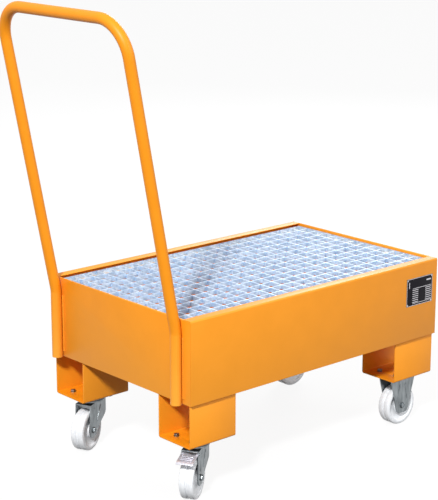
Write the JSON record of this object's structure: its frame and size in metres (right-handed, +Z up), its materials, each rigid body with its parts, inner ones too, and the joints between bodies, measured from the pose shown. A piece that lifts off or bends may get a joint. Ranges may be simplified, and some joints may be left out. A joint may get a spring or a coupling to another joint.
{
  "type": "drum dolly",
  "caption": "Mobile spill tray for two upright drums: welded sump tub with lift-out grating, feet with swivel and fixed casters, a pedal brake and a tall tubular push handle.",
  "frame": {"origin": "on the floor, under the middle of the outer box", "axes": "+X from the handle end to the fixed casters, +Y from the near side with the data plate to the far side, +Z up"},
  "size_m": [1.4356, 0.7714, 1.638],
  "materials": {
    "yellow_paint": "satin powder coat",
    "galvanised": "hot-dip galvanised",
    "zinc": "bright zinc plated",
    "polyamide": "natural white polyamide",
    "bearing_steel": "ground steel",
    "bush_plastic": "moulded black plastic",
    "plate_film": "printed film on aluminium",
    "rivet_alloy": "plain aluminium",
    "brake_rubber": "moulded rubber"
  },
  "bodies": {
    "trolley_frame": {"caster_bolts": "zinc", "caster_nuts": "zinc", "caster_washers": "zinc", "data_plate": "plate_film", "data_plate_rivets": "rivet_alloy", "far_fixed_axle_bolt": "zinc", "far_fixed_axle_nut": "zinc", "far_fixed_fork": "zinc", "far_fixed_sleeve": "zinc", "far_front_foot": "yellow_paint", "far_grating_ledge": "yellow_paint", "far_handle_foot": "yellow_paint", "far_side_panel": "yellow_paint", "far_swivel_king_pin": "zinc", "far_swivel_pad": "zinc", "far_swivel_race_cup": "zinc", "front_end_ledge": "yellow_paint", "front_end_panel": "yellow_paint", "handle_end_ledge": "yellow_paint", "handle_end_panel": "yellow_paint", "handle_welds": "yellow_paint", "near_fixed_axle_bolt": "zinc", "near_fixed_axle_nut": "zinc", "near_fixed_fork": "zinc", "near_fixed_sleeve": "zinc", "near_front_foot": "yellow_paint", "near_grating_ledge": "yellow_paint", "near_handle_foot": "yellow_paint", "near_side_panel": "yellow_paint", "near_swivel_king_pin": "zinc", "near_swivel_pad": "zinc", "near_swivel_race_cup": "zinc", "push_handle": "yellow_paint", "tub_floor": "yellow_paint"},
    "near_swivel_body": {"near_swivel_axle_bolt": "zinc", "near_swivel_axle_nut": "zinc", "near_swivel_balls": "bearing_steel", "near_swivel_brake_pin": "zinc", "near_swivel_fork": "zinc", "near_swivel_sleeve": "zinc"},
    "far_swivel_body": {"far_swivel_axle_bolt": "zinc", "far_swivel_axle_nut": "zinc", "far_swivel_balls": "bearing_steel", "far_swivel_fork": "zinc", "far_swivel_sleeve": "zinc"},
    "near_swivel_wheel_body": {"near_swivel_wheel": "polyamide", "near_swivel_bush": "bush_plastic"},
    "far_swivel_wheel_body": {"far_swivel_wheel": "polyamide", "far_swivel_bush": "bush_plastic"},
    "near_fixed_wheel_body": {"near_fixed_wheel": "polyamide", "near_fixed_bush": "bush_plastic"},
    "far_fixed_wheel_body": {"far_fixed_wheel": "polyamide", "far_fixed_bush": "bush_plastic"},
    "brake_pedal_body": {"near_swivel_brake_pedal": "zinc", "near_swivel_brake_pad": "brake_rubber"},
    "grating_body": {"grating_bearing_bars": "galvanised", "grating_cross_bars": "galvanised", "grating_frame": "galvanised"}
  },
  "joints": [
    {"name": "near_caster_swivel", "type": "hinge", "parent": "trolley_frame", "child": "near_swivel_body", "pos_m": [-0.38216, -0.2905, 0.185], "axis": [0, 0, 1], "continuous": true},
    {"name": "near_swivel_wheel_spin", "type": "hinge", "parent": "near_swivel_body", "child": "near_swivel_wheel_body", "pos_m": [-0.42202, -0.31541, 0.075], "axis": [-0.5299, 0.848, 0], "continuous": true},
    {"name": "brake_pedal_press", "type": "hinge", "parent": "near_swivel_body", "child": "brake_pedal_body", "pos_m": [-0.43474, -0.32336, 0.163], "axis": [-0.5299, 0.848, 0], "range_deg": [-10, 0]},
    {"name": "near_fixed_wheel_spin", "type": "hinge", "parent": "trolley_frame", "child": "near_fixed_wheel_body", "pos_m": [0.61784, -0.2905, 0.075], "axis": [0, 1, 0], "continuous": true},
    {"name": "far_caster_swivel", "type": "hinge", "parent": "trolley_frame", "child": "far_swivel_body", "pos_m": [-0.38216, 0.2905, 0.185], "axis": [0, 0, 1], "continuous": true},
    {"name": "far_swivel_wheel_spin", "type": "hinge", "parent": "far_swivel_body", "child": "far_swivel_wheel_body", "pos_m": [-0.42475, 0.27064, 0.075], "axis": [-0.4226, 0.9063, 0], "continuous": true},
    {"name": "far_fixed_wheel_spin", "type": "hinge", "parent": "trolley_frame", "child": "far_fixed_wheel_body", "pos_m": [0.61784, 0.2905, 0.075], "axis": [0, 1, 0], "continuous": true},
    {"name": "grating_lift", "type": "slide", "parent": "trolley_frame", "child": "grating_body", "axis": [0, 0, 1], "range_m": [0, 0.25]}
  ]
}
